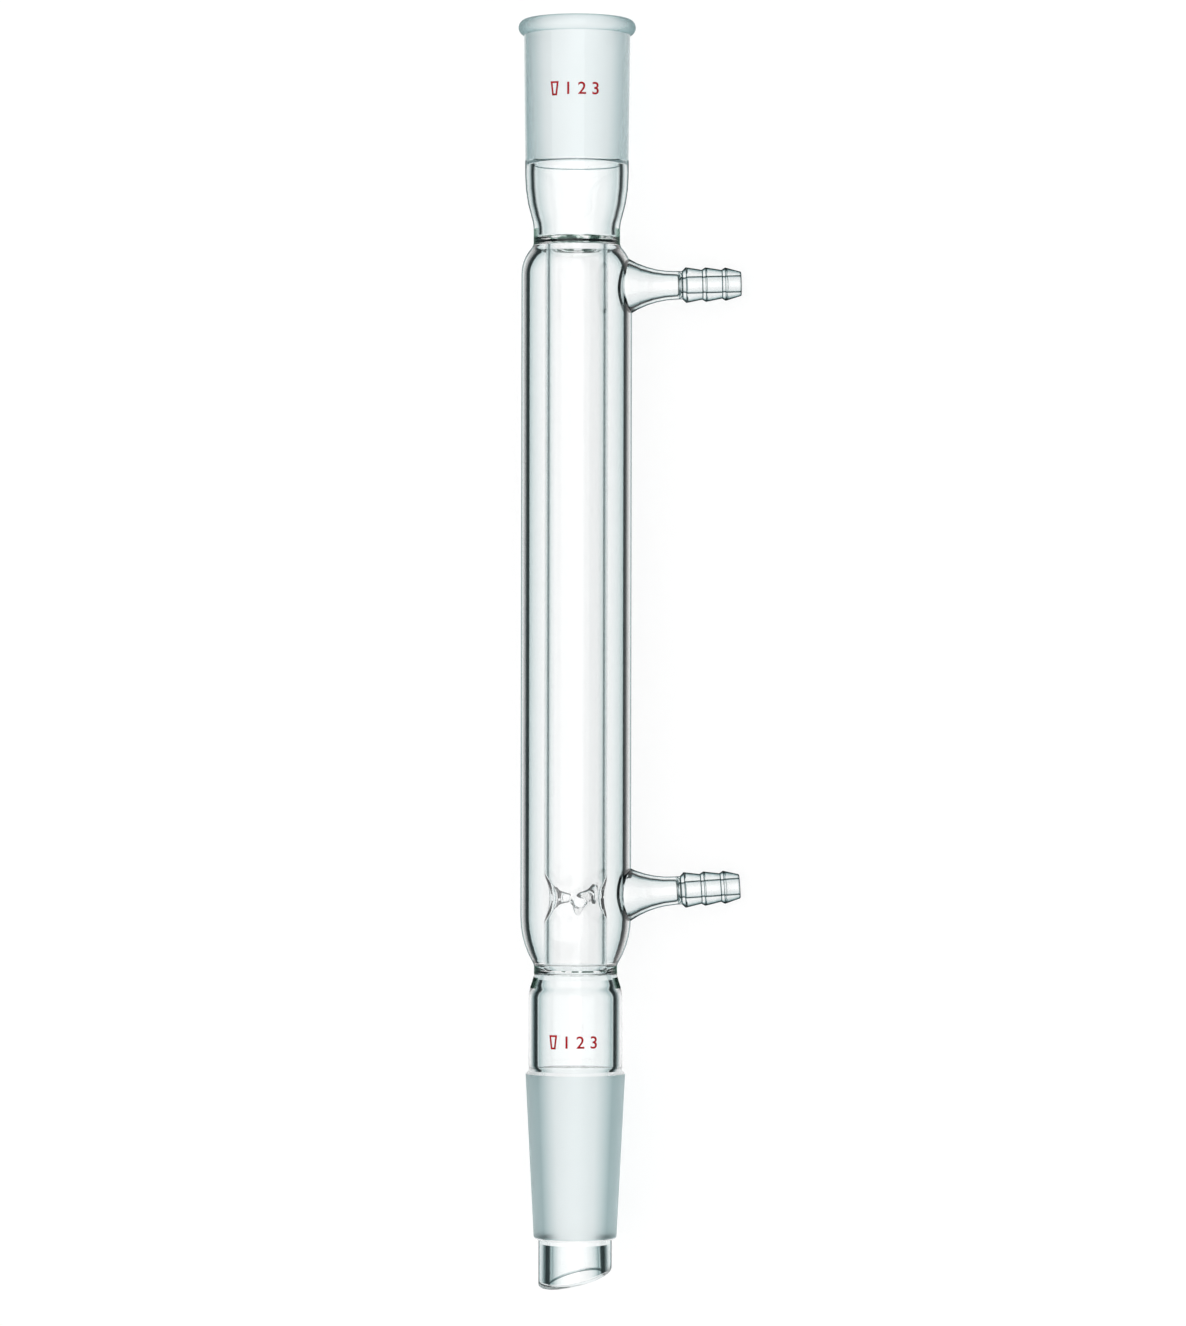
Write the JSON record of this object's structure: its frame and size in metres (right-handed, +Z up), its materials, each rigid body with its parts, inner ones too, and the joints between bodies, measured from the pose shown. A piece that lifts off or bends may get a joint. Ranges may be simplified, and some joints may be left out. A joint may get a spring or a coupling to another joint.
{
  "type": "jacketed distillation column",
  "caption": "Glass distillation column in a cooling jacket, with a tapered ground socket on top, a tapered ground cone with drip tip below, and serrated hose ports on one side.",
  "frame": {"origin": "on the bench under the middle of the part's box, the column lying at rest", "axes": "+Y along the column from the drip tip to the ground socket, +X to the side the hose ports are on, +Z up from the bench"},
  "size_m": [0.053, 0.3056, 0.0282],
  "materials": {
    "borosilicate_glass": "polished"
  },
  "bodies": {
    "root": {"glass_column": "borosilicate_glass"}
  },
  "joints": []
}
